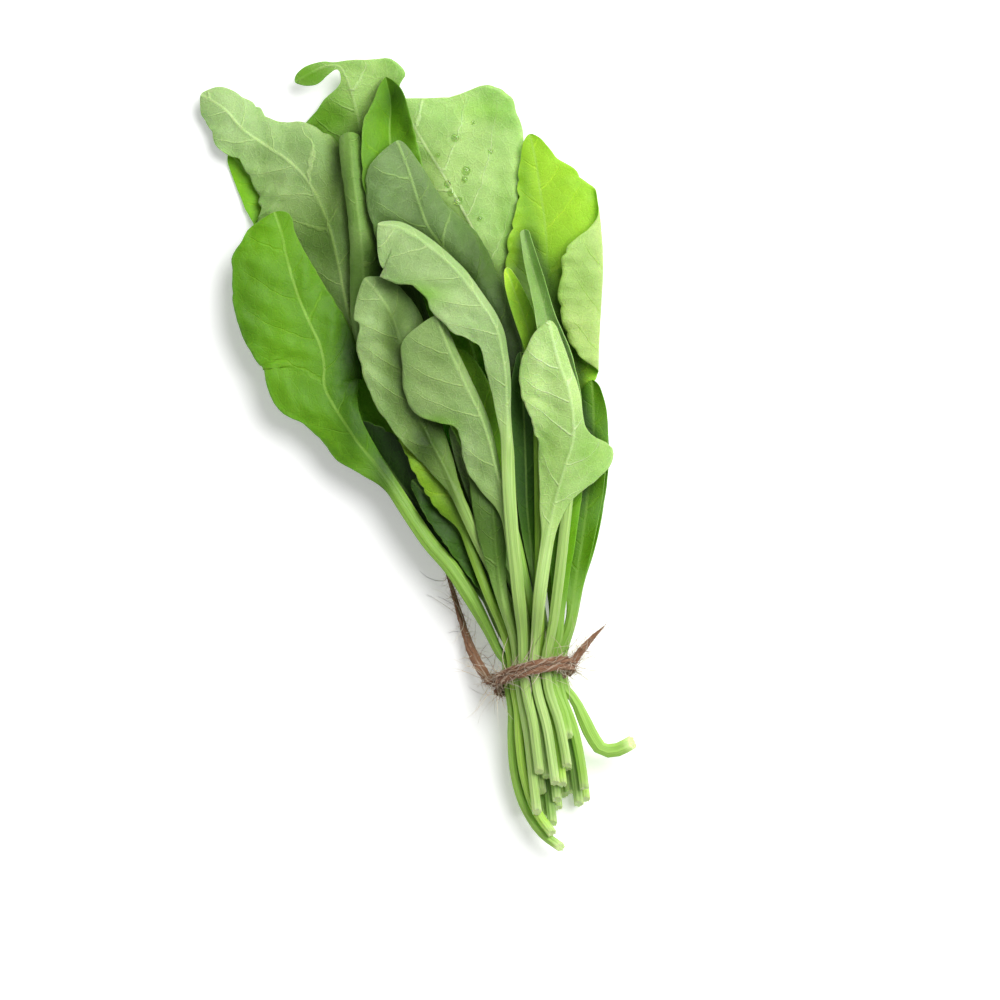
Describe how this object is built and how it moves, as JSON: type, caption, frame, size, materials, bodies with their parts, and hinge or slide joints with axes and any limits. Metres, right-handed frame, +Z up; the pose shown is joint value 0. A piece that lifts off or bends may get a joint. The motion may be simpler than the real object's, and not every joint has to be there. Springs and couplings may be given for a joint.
{
  "type": "arugula bunch",
  "caption": "Bunch of fresh arugula lying flat: broad green leaves fanned out over each other, their long pale stems tied with rough jute twine.",
  "frame": {"origin": "middle of the bunch's outline box, on the surface that it lies on", "axes": "+Y from the cut stem ends to the leaf tips, +Z up from the surface, +X to the right as seen from above"},
  "size_m": [0.1106, 0.1996, 0.0259],
  "materials": {
    "leaf_bright": "soft sheen of a fresh leaf",
    "leaf_pale": "soft sheen of a fresh leaf",
    "leaf_lime": "soft sheen of a fresh leaf",
    "leaf_sage": "soft sheen of a fresh leaf",
    "leaf_dark": "soft sheen of a fresh leaf",
    "twine": "rough jute fibre"
  },
  "bodies": {
    "root": {"leaf_hidden_middle": "leaf_bright", "leaf_hidden_west": "leaf_bright", "leaf_north_pale": "leaf_pale", "leaf_hidden_east": "leaf_lime", "leaf_west_outer": "leaf_sage", "leaf_rolled": "leaf_sage", "leaf_north_east": "leaf_pale", "leaf_north_cup": "leaf_bright", "leaf_east_folded": "leaf_lime", "leaf_bent_stem": "leaf_bright", "leaf_centre_back": "leaf_dark", "leaf_dark_fold": "leaf_dark", "leaf_west_front": "leaf_bright", "leaf_dark_wavy": "leaf_dark", "leaf_dark_strip": "leaf_dark", "leaf_bright_edge": "leaf_lime", "leaf_inner_narrow": "leaf_dark", "leaf_middle": "leaf_sage", "leaf_hidden_core": "leaf_bright", "leaf_south_east": "leaf_bright", "leaf_winged": "leaf_sage", "leaf_saturated": "leaf_bright", "leaf_yellow_tip": "leaf_lime", "leaf_front_oval": "leaf_sage", "leaf_rolled_east": "leaf_sage", "leaf_front_long": "leaf_sage", "leaf_front_pale": "leaf_pale", "twine_tie": "twine"}
  },
  "joints": []
}
